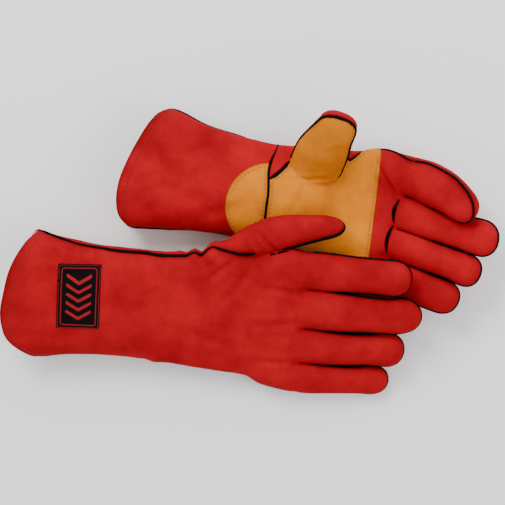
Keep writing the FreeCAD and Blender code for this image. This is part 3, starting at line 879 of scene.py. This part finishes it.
def suede(name, light, middle, dark):
    """Split leather: short matt nap with soft cloudy tones and brushed streaks, with painted shade from the
    shade attribute, darkest at the seams.
    """
    m = Nodes(name)
    cloud = m.noise(26, 3.0, 0.55)
    patches = m.noise(85, 2.5, 0.6)
    nap = m.noise(2400, 2.0, 0.65)
    fibre = m.noise(900, 3.0, 0.7, (1.0, 0.35, 1.0))
    colour = m.ramp(cloud, (0.33, dark), (0.5, middle), (0.68, light))
    colour = m.mix("MULTIPLY", 0.55, colour, m.ramp(patches, (0.34, grey(0.88)), (0.62, grey(1.04))))
    colour = m.mix("MULTIPLY", 0.6, colour, m.ramp(nap, (0.3, grey(0.74)), (0.7, grey(1.12))))
    colour = m.mix("MULTIPLY", 0.4, colour, m.ramp(fibre, (0.35, grey(0.84)), (0.65, grey(1.06))))
    # Painted light: where the shade attribute is above zero, the colour is mixed towards the light tone.
    colour = m.mix("MIX", m.maths("MAXIMUM", m.shade(), 0.0), colour, light)
    # Painted shade: where the shade attribute is below zero, the colour is mixed towards a dark tone, beside
    # the seams and on the left cuff.
    painted_darkening = m.maths("MULTIPLY", m.maths("MINIMUM", m.shade(), 0.0), -1.0)
    return m.finish(
        Base_Color=m.mix("MIX", painted_darkening, colour, dimmed(dark, 0.22)),
        Roughness=m.ramp(patches, (0.3, grey(0.82)), (0.7, grey(0.95))),
        Specular_IOR_Level=0.06,
        Sheen_Weight=0.06,
        Sheen_Roughness=0.45,
        Sheen_Tint=(*(min(1.0, 2 * c + 0.02) for c in light[:3]), 1.0),
        Normal=m.bump(nap, 0.0002, 0.5, m.bump(fibre, 0.0004, 0.35)),
    )


def welt_leather():
    """Black piping leather: smooth, with fine creases across it."""
    m = Nodes("black welt leather")
    grain = m.noise(700, 3.0, 0.6)
    return m.finish(
        Base_Color=m.ramp(grain, (0.35, linear(5, 2, 3)), (0.7, linear(13, 7, 9))),
        Roughness=m.ramp(grain, (0.3, grey(0.6)), (0.7, grey(0.8))),
        Specular_IOR_Level=0.04,
        Normal=m.bump(grain, 0.0002, 0.5),
    )


def fleece_cloth():
    """Brushed cotton lining: pale, with small soft tufts."""
    m = Nodes("cotton fleece lining")
    tuft = m.noise(520, 3.0, 0.7)
    cloud = m.noise(60, 2.0)
    colour = m.ramp(tuft, (0.3, linear(176, 160, 134)), (0.7, linear(232, 222, 200)))
    return m.finish(
        Base_Color=m.mix("MULTIPLY", 0.4, colour, m.ramp(cloud, (0.3, grey(0.8)), (0.7, grey(1.0)))),
        Roughness=0.95,
        Specular_IOR_Level=0.1,
        Sheen_Weight=0.4,
        Normal=m.bump(tuft, 0.0009, 0.8),
    )


def woven(name, base, thread):
    """A woven ribbon: fine crossing ribs."""
    m = Nodes(name)
    rib = dict(Scale=620.0, Distortion=1.2, Detail=1.0)
    waves = [m.add("ShaderNodeTexWave", {"bands_direction": d}, Vector=m.rest(), **rib) for d in ("X", "Y")]
    weave = m.maths("MULTIPLY", *waves)
    return m.finish(
        Base_Color=m.ramp(weave, (0.0, base), (0.8, thread)),
        Roughness=0.75,
        Specular_IOR_Level=0.06,
        Normal=m.bump(weave, 0.00015, 0.6),
    )


def thread_cotton(name, colour):
    m = Nodes(name)
    twist = m.noise(2600, 1.0)
    return m.finish(Base_Color=m.ramp(twist, (0.3, dimmed(colour, 0.6)), (0.7, colour)), Roughness=0.7)


RED = suede("red split leather", linear(176, 16, 27), linear(164, 12, 24), linear(146, 9, 20))
ORANGE = suede("orange split leather", linear(224, 134, 20), linear(214, 124, 16), linear(196, 106, 12))
RED_LEATHER = (RED, "red_leather")
ORANGE_LEATHER = (ORANGE, "orange_leather")
BLACK_WELT = (welt_leather(), "black_welt")
LINING_FLEECE = (fleece_cloth(), "fleece")
LABEL_CLOTH = (woven("woven label", linear(6, 4, 6), linear(18, 12, 15)), "label_cloth")
LABEL_RED = (woven("woven label figure", linear(120, 20, 26), linear(186, 38, 40)), "red_leather")
RED_THREAD = (thread_cotton("red thread", linear(132, 12, 20)), "red_leather")
ORANGE_THREAD = (thread_cotton("orange thread", linear(190, 112, 44)), "orange_leather")


# ------------------------------------------------------------------------------------ pieces
LINING_END = 70.0  # where the hand's lining stops, x
# The left patch's edge beside the thumb, x for each y.
THUMB_SIDE = cubic((-60, 6, 12, 30, 48, 80), (-80, -14, -4.5, 8.9, 13.5, 16))
ROOT_ARCS = ((0.0, 22.0), (-26.0, 0.0))  # where a finger's front starts on the left palm, y
GUSSET = ((56.6, 41.0), (51.0, 56.0), (67.0, 53.0))
STRIP = 9.2  # width of the strips between fingers
LABEL_MIDDLE, LABEL_HALF, LABEL_TURN = (-71.0, 7.0), (17.6, 27.4), 2.7


def circle(count):
    return [(math.cos(a), math.sin(a)) for a in np.linspace(0, 2 * math.pi, count + 1)[:-1]]


def cord_section(half_width, proud):
    """A welt's section: a round bead standing that far out, tucked under the leather below."""
    return [(half_width * c, proud * s if s > 0 else 1.2 * s) for c, s in circle(10)]


def ends(points, length):
    """1 along a line, falling to nothing at its two ends."""
    along = lengths_along(points)
    return np.sqrt(np.clip(np.minimum(along, along[-1] - along) / length, 0.02, 1))


def stretches(points, normals, keep, least=5):
    """The parts of a line where keep is true."""
    edges = np.flatnonzero(np.diff(np.concatenate(([0], keep.astype(int), [0]))))
    return [(points[a:b], normals[a:b]) for a, b in zip(edges[::2], edges[1::2]) if b - a > least]


def rounded(distance, thickness, edge=1.6):
    """A laid-on layer's height: thin at its edge, rounding up to its thickness."""
    u = np.clip(distance / edge, 0, 1)
    return 0.35 + (thickness - 0.35) * np.sqrt(u * (2 - u))


def lay_welt(build, mesh, field, half_width, proud, keep=None, taper=6.0, thick=None, least=12.0):
    """Welts along the lines where a field is zero on a mesh."""
    for points, normals, closed in contour(mesh, field, least):
        p, n = even_line(points, normals, 1.6)
        runs = [(p, n)] if keep is None else stretches(p, n, keep(p))
        for q, m in runs:
            whole = closed and len(q) == len(p)
            scale = np.ones(len(q)) if whole else ends(q, taper)
            if thick is not None:
                scale = scale * thick(q)
            build.sweep(q, m, cord_section(half_width, proud), whole, scale)


def lay_stitches(build, mesh, field, spacing=3.6, length=2.5, half_width=0.38, out=0.0):
    """Rows of thread stitches along the lines where a field is zero on a mesh."""
    rise = out + np.array((-0.25, 0.18, 0.3, 0.18, -0.25))
    section = [(half_width * c, half_width * s) for c, s in circle(6)]
    for points, normals, _ in contour(mesh, field):
        p, n = even_line(points, normals, 0.9)
        along = lengths_along(p)
        for start in np.arange(spacing / 2, along[-1] - length, spacing):
            where = start + length * np.linspace(0, 1, len(rise))
            m = unit(read_at(where, along, n))
            q = read_at(where, along, p) + m * rise[:, None]
            build.sweep(q, m, section, False, np.ones(len(rise)))


def seam_shade(*fields):
    """Painted shade on the leather close to its seams, from distances to them: the closer, the darker."""
    nearest = np.minimum.reduce([np.abs(f) for f in fields])
    return -0.55 * np.exp(-((nearest / 1.8) ** 2)) - 0.16 * np.exp(-((nearest / 7.0) ** 2))


def hem_line(side, y, z):
    """The cuff's open end, x for each y. The lower layer stops a little short of the upper one."""
    return cubic(*zip(*HEM[side]))(y) + 0.3 * np.maximum(-z, 0)


def wrist_line(side, y):
    """Where the palm's seam across the wrist runs, x for each y."""
    if side == "right":
        return WRIST_SEAM + 0 * y
    return WRIST_SEAM - 5.0 * bump(y - 22, 17) + 2.2 * step(-4, -30, y)


# What a piece is tied to: its bodies, and between two of them, where the bend starts and ends.
ACROSS_WRIST = (("cuff", "hand"), ((-18.0, 0, 0), (18.0, 0, 0)))
ON_CUFF = (("cuff",), None)


def place(build, name, side, tie, looks, nodes=()):
    """Makes the object and ties it to its one body; a piece between two bodies is not tied to either."""
    (bodies, span), (material, slot) = tie, looks
    obj = build.object(f"{side}_{name}", HAND[side], material)
    if len(bodies) == 1:
        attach(obj, f"{side}_{bodies[0]}")
    else:
        start, end = (HAND[side].out(p) for p in span)
        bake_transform(obj)
    if nodes:
        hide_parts(*(f"{side}_{n}" for n in nodes))


def sheet(mesh, outer, inner, name, side, tie, looks, nodes):
    """A closed sheet over a mesh, made and tied."""
    build = Build()
    build.shell(mesh, outer, inner)
    place(build, name, side, tie, looks, nodes)


def hand_skin(glove):
    """The outside of the cuff and hand, cut off at the fingers, hem and thumb, with its seam distances."""
    side, thumb, cut = glove.side, glove.digits["thumb"], THUMB_CUT[glove.side]
    lattice = Lattice((-150, -74, -46), (glove.crotch + 3, 84, 46))
    skin = lattice.mesh(glove.hand(lattice.points))
    skin = clip(skin, glove.crotch - skin.points[:, 0])
    x, y, z = glove.straightened(skin.points).T
    skin = clip(skin, x - hem_line(side, y, z))
    along = thumb.coordinates(skin.points)[0]
    body, near = glove.body_distance(skin.points), thumb.distance(skin.points)
    skin = clip(skin, np.maximum.reduce((cut - along, 1.2 - body, near - 3.5)))

    x, y, z = glove.straightened(skin.points).T
    gap, along, lateral = thumb.seam_gap(skin.points)
    body, near = glove.body_distance(skin.points), thumb.distance(skin.points)
    height = glove.seam_height(skin.points)
    if side == "right":
        beside = near - body + 3.0 + FAR * step(cut + 1, cut + 6, along)
        height = soft_min(height, beside, 5.0)
    hem = x - hem_line(side, y, z)
    # Painted shade beside the side and wrist seams and along the hem.
    shade = seam_shade(height, hem * 1.4 + 0.8)
    # Painted shade: the left cuff is darkened on its thumb's side, back from the wrist.
    if side == "left":
        shade = shade - 0.22 * step(-5, 45, y) * step(-15, -55, x)
    skin.extra.update(height=height, hem=hem, shade=shade, x=x, y=y, z=z)
    skin.extra.update(gap=gap, along=along, lateral=lateral, thumbness=body - near)
    return skin


def make_hand(glove):
    """The cuff and hand: lining, back, palm, patch, tab, welts and label."""
    side = glove.side
    skin = hand_skin(glove)
    lining = clip(skin, LINING_END - skin.extra["x"])
    lining.extra.pop("shade")
    outer, nodes = -LEATHER - 0.05, ("lining", "cuff_lining")
    sheet(lining, outer, -LEATHER - LINING, "lining_fleece", side, ACROSS_WRIST, LINING_FLEECE, nodes)

    back, palm = clip(skin, skin.extra["height"]), clip(skin, -skin.extra["height"])
    for name, mesh, nodes in (
        ("back_panel", back, ("cuff_back", "hand_back")),
        ("palm_panel", palm, ("cuff_front", "palm")),
    ):
        sheet(mesh, 0.0, -LEATHER, name, side, ACROSS_WRIST, RED_LEATHER, nodes)
    make_patch(glove, palm)
    make_hand_welts(glove, skin, palm)
    if side == "right":
        make_label(back)


def patch_field(glove, e):
    """Distance inside the palm patch, negative outside it."""
    side = glove.side
    edge = PATCH_END[side] - e["x"] - 0.115 * e["y"]
    past_wrist = e["x"] - wrist_line(side, e["y"]) - 0.8
    field = np.minimum.reduce((past_wrist, edge, -e["height"] - 1.0, e["y"] + 43))
    if side == "right":
        clear_of_gathers = np.maximum(43 - e["y"], e["x"] - 50)
        return np.minimum.reduce((field, -PATCH_BELOW - e["z"], clear_of_gathers))
    left = (e["x"] - THUMB_SIDE(e["y"])) * 0.8
    own = step(THUMB_CUT[side] - 8, THUMB_CUT[side] - 1, e["along"]) * step(-4, 0, e["thumbness"])
    left = left * (1 - own) + (e["gap"] - 1.2) * own
    right = np.maximum.reduce((e["gap"] - 1.2, -e["thumbness"] - 5, 42 - e["y"]))
    field = np.minimum(field, np.where(e["lateral"] > 0, left, right))
    return np.minimum(field, -gusset_field(e["x"], e["y"]))


def gusset_field(x, y):
    """Distance inside the small triangle between thumb and index, negative outside it."""
    inside = []
    for k in range(3):
        (ax, ay), (bx, by) = GUSSET[k], GUSSET[(k + 1) % 3]
        length = math.hypot(bx - ax, by - ay)
        inside.append(((by - ay) * (x - ax) - (bx - ax) * (y - ay)) / length)
    return np.minimum.reduce(inside)


def tab_field(side, e):
    """Distance inside the half-round tab on the cuff, negative outside it."""
    cx, cy, radius = TAB[side]
    tab = np.minimum(radius - np.hypot(e["x"] - cx, e["y"] - cy), wrist_line(side, e["y"]) - e["x"] - 0.8)
    return tab if side == "left" else np.minimum(tab, -PATCH_BELOW - e["z"])


def make_patch(glove, palm):
    """The orange patch and its tab on the cuff, each with a row of stitches inside its edge."""
    side, e = glove.side, palm.extra
    e.update(patch=patch_field(glove, e), tab=tab_field(side, e))
    thread = Build()
    for field, node in (("patch", "palm_patch"), ("tab", "cuff_tab")):
        layer = clip(palm, e[field])
        inside = layer.extra[field]
        # Painted shade on the orange leather just inside its edge.
        layer.extra["shade"] = seam_shade(inside + 0.4) * 0.6
        outer = rounded(inside, PATCH)
        sheet(layer, outer, 0.06, f"{node}_leather", side, ACROSS_WRIST, ORANGE_LEATHER, (node,))
        lay_stitches(thread, layer, inside - 2.6, out=PATCH)
    place(thread, "patch_stitches", side, ACROSS_WRIST, ORANGE_THREAD)


def make_hand_welts(glove, skin, palm):
    """The welts of the side seams, wrist seam, thumb's root and fingers' roots, and the hem's stitches."""
    side = glove.side
    build = Build()
    e = palm.extra
    lay_welt(build, skin, skin.extra["height"], 1.4, 1.3, thick=uneven, least=40.0)
    wrist = e["x"] - wrist_line(side, e["y"])
    if side == "left":
        lay_welt(build, palm, wrist, 1.2, 1.7, thick=lambda q: 1 - 0.6 * step(22, 40, q[:, 1]))
        lay_welt(build, palm, np.where(e["lateral"] > -4, e["patch"], -9.0), 1.9, 1.9, keep=beside_thumb)
        lay_welt(build, palm, e["patch"], 1.2, 1.9, keep=at_gusset)
        for low, high in ROOT_ARCS:
            lay_root_arc(build, palm, low, high)
    else:
        lay_welt(build, palm, wrist, 1.2, 1.7, keep=underneath)
    place(build, "side_and_wrist_welts", side, ACROSS_WRIST, BLACK_WELT, ("cuff_welts", "hand_side_welts"))

    thread = Build()
    lay_stitches(thread, skin, skin.extra["hem"] - 7.0)
    place(thread, "hem_stitches", side, ON_CUFF, RED_THREAD)


def lay_root_arc(build, palm, low, high):
    """The welt round a finger's front where it starts on the palm, from one y to another."""
    x, y = palm.extra["x"], palm.extra["y"]
    across = (y - (low + high) / 2) / ((high - low) / 2)
    round_end = x - (109.0 - 6.0 * np.sqrt(np.clip(1 - across**2, 0, 1)))
    arc = np.maximum(round_end, 3 * (np.abs(across) - 1))

    def within(points):
        return (points[:, 0] > 96) & (points[:, 1] > low + 0.3) & (points[:, 1] < high - 0.3)

    lay_welt(build, palm, arc, 1.7, 1.3, keep=within, taper=9)


def uneven(points):
    return 1 + 0.35 * noise(points, 30, 8)


def underneath(points):
    return points[:, 2] < -7


def beside_thumb(points):
    return (points[:, 1] > 9) & (points[:, 0] < 22) & (points[:, 2] > -6)


def at_gusset(points):
    return (points[:, 1] > 36) & (points[:, 0] > 47) & (points[:, 0] < 74) & (points[:, 2] > 2)


def make_label(back):
    """A woven label on the right cuff's back with a border and a row of chevrons."""
    turn = math.radians(LABEL_TURN)
    x, y = back.extra["x"] - LABEL_MIDDLE[0], back.extra["y"] - LABEL_MIDDLE[1]
    u = x * math.cos(turn) + y * math.sin(turn)
    v = y * math.cos(turn) - x * math.sin(turn)
    inside = np.minimum(LABEL_HALF[0] - np.abs(u), LABEL_HALF[1] - np.abs(v))
    back.extra.update(u=u, v=v, label=inside)
    cloth = clip(back, inside)
    cloth.extra.pop("shade")
    e = cloth.extra
    outer = rounded(e["label"], LABEL, 0.6)
    sheet(cloth, outer, 0.05, "woven_label", "right", ON_CUFF, LABEL_CLOTH, ("cuff_label",))

    chevron = np.full(len(e["u"]), -FAR)
    for k in range(-2, 3):
        chevron = np.maximum(chevron, 1.5 - np.abs(e["v"] - 7.6 * k - 0.62 * np.abs(e["u"]) + 3.2))
    build = Build()
    build.shell(clip(cloth, np.minimum(chevron, 10.5 - np.abs(e["u"]))), LABEL + 0.22, LABEL - 0.25)
    ribbon = [(0.5, -0.3), (0.5, 0.15), (-0.5, 0.15), (-0.5, -0.3)]
    for points, normals, closed in contour(cloth, e["label"] - 3.2):
        p, n = even_line(points, normals, 1.2, 1)
        build.sweep(p + n * LABEL, n, ribbon, closed, np.ones(len(p)))
    place(build, "label_chevrons", "right", ON_CUFF, LABEL_RED)
    thread = Build()
    lay_stitches(thread, cloth, e["label"] - 0.9, spacing=2.4, length=1.6, half_width=0.25, out=LABEL)
    place(thread, "label_stitches", "right", ON_CUFF, RED_THREAD)


def strip_half_width(glove, name, along, lateral):
    """Half the width of the strip between a finger's back and front, wide only beside another finger."""
    digit = glove.digits[name]
    between = 0 * along
    for sign, outermost in ((1, "index"), (-1, "little")):
        if name != outermost:
            between = between + step(0.25 * digit.wide, 0.6 * digit.wide, sign * lateral)
    start, end = glove.crotch - digit.line[0, 0], digit.length
    return STRIP / 2 * between * step(start - 2, start + 18, along) * step(end - 12, end - 30, along)


def make_finger(glove, name):
    side, digit = glove.side, glove.digits[name]
    low, high = digit.line.min(0), digit.line.max(0)
    lattice = Lattice((glove.crotch - 3, low[1] - 22, low[2] - 20), high + 20)
    skin = lattice.mesh(glove.finger(name, lattice.points))
    skin = clip(skin, skin.points[:, 0] - glove.crotch)
    gap, along, lateral = digit.seam_gap(skin.points)
    gap = -glove.palm * gap
    half = strip_half_width(glove, name, along, lateral)
    top, bottom = gap - half, gap + half
    # Painted shade beside the finger's seams.
    skin.extra.update(half=half, top=top, bottom=bottom, shade=seam_shade(top, bottom))
    tie = (("hand", name), ((glove.crotch, 0, 0), (glove.crotch + 30, 0, 0)))
    for part, field in ((f"{name}_back", top), (f"{name}_front", -bottom)):
        sheet(clip(skin, field), 0.0, -LEATHER, f"{part}_leather", side, tie, RED_LEATHER, (part,))
    strip = clip(skin, -top)
    strip = clip(strip, strip.extra["half"] * 2 - 0.6 + np.minimum(0, strip.extra["bottom"]) * 9)
    sheet(strip, 0.0, -LEATHER, f"{name}_side_strips", side, tie, RED_LEATHER, (f"{name}_fourchettes",))
    build = Build()
    lay_welt(build, skin, top, 1.05, 1.2, taper=1.0)
    seams = clip(skin, half - 0.8)
    if len(seams.faces):
        lay_welt(build, seams, seams.extra["bottom"], 0.8, 0.9)
    place(build, f"{name}_black_welts", side, tie, BLACK_WELT, (f"{name}_welt",))


def make_thumb(glove):
    side, digit, cut = glove.side, glove.digits["thumb"], THUMB_CUT[glove.side]
    lattice = Lattice(digit.line.min(0) - 26, digit.line.max(0) + 24)
    skin = lattice.mesh(glove.thumb(lattice.points))
    skin = clip(skin, digit.coordinates(skin.points)[0] - cut)
    gap = -glove.palm * digit.seam_gap(skin.points)[0]
    # Painted shade beside the thumb's seam.
    skin.extra.update(gap=gap, shade=seam_shade(gap))
    tie = (("hand", "thumb"), (digit.point_at(cut), digit.point_at(cut + 28)))
    sheet(clip(skin, gap), 0.0, -LEATHER, "thumb_back_leather", side, tie, RED_LEATHER, ("thumb_back",))
    front = clip(skin, -gap)
    outer = rounded(-front.extra["gap"] - 0.3, PATCH)
    sheet(front, outer, -LEATHER, "thumb_front_leather", side, tie, ORANGE_LEATHER, ("thumb_front",))
    build = Build()
    lay_welt(build, skin, gap, 1.9, 1.8, keep=lambda q: glove.body_distance(q) > 0.5, taper=3.0)
    place(build, "thumb_black_welts", side, tie, BLACK_WELT, ("thumb_welt",))


def make_glove(side, above=None):
    glove = Glove(side, above)
    make_hand(glove)
    for name in FINGERS:
        make_finger(glove, name)
    make_thumb(glove)
    return glove


# ------------------------------------------------------------------------------------ stage
def area_light(name, place_m, aim_m, size, power):
    data = bpy.data.lights.new(name, "AREA")
    data.shape, data.size, data.energy = "DISK", size, power
    obj = bpy.data.objects.new(name, data)
    obj.location = place_m
    obj.rotation_euler = (Vector(aim_m) - Vector(place_m)).to_track_quat("-Z", "Y").to_euler()
    bpy.context.scene.collection.objects.link(obj)


def make_stage():
    """A pale floor, soft studio light and the camera, looking straight down as the photograph does."""
    pale = Nodes("pale floor").finish(Base_Color=grey(0.93), Roughness=0.9, Specular_IOR_Level=0.1)
    data = bpy.data.meshes.new("floor")
    data.from_pydata([(-4, -4, 0), (4, -4, 0), (4, 4, 0), (-4, 4, 0)], [], [(0, 1, 2, 3)])
    data.materials.append(pale)
    floor = bpy.data.objects.new("floor", data)
    bpy.context.scene.collection.objects.link(floor)

    world = bpy.data.worlds.new("studio")
    world.use_nodes = True
    background = world.node_tree.nodes["Background"]
    background.inputs["Color"].default_value = (1.0, 1.0, 1.0, 1)
    background.inputs["Strength"].default_value = 0.95
    bpy.context.scene.world = world
    centre = (0.0, 0.0, 0.03)
    area_light("key", (-0.75, 0.85, 1.35), centre, 0.9, 22)
    area_light("fill", (0.95, -0.2, 1.3), centre, 1.2, 9)
    area_light("rim", (0.1, 1.3, 0.6), centre, 0.7, 6)

    look_at = Vector((-0.0035, -0.0098, 0.02))
    up = Vector((-0.139, 0.990, 0.0)).normalized()
    camera = bpy.data.cameras.new("camera")
    camera.lens, camera.sensor_width = 180, 36
    seen = 0.4235  # width of floor in the picture, m
    distance = camera.lens / camera.sensor_width * seen
    camera.clip_end = 20
    obj = bpy.data.objects.new("camera", camera)
    right = up.cross(Vector((0, 0, 1)))
    obj.matrix_world = Matrix(
        (
            (right.x, up.x, 0, look_at.x),
            (right.y, up.y, 0, look_at.y),
            (right.z, up.z, 1, look_at.z + distance),
            (0, 0, 0, 1),
        )
    )
    bpy.context.scene.collection.objects.link(obj)
    bpy.context.scene.camera = obj


right_glove = make_glove("right")
make_glove("left", above=lambda row: right_glove.whole(right_glove.frame.into(row)))
make_stage()
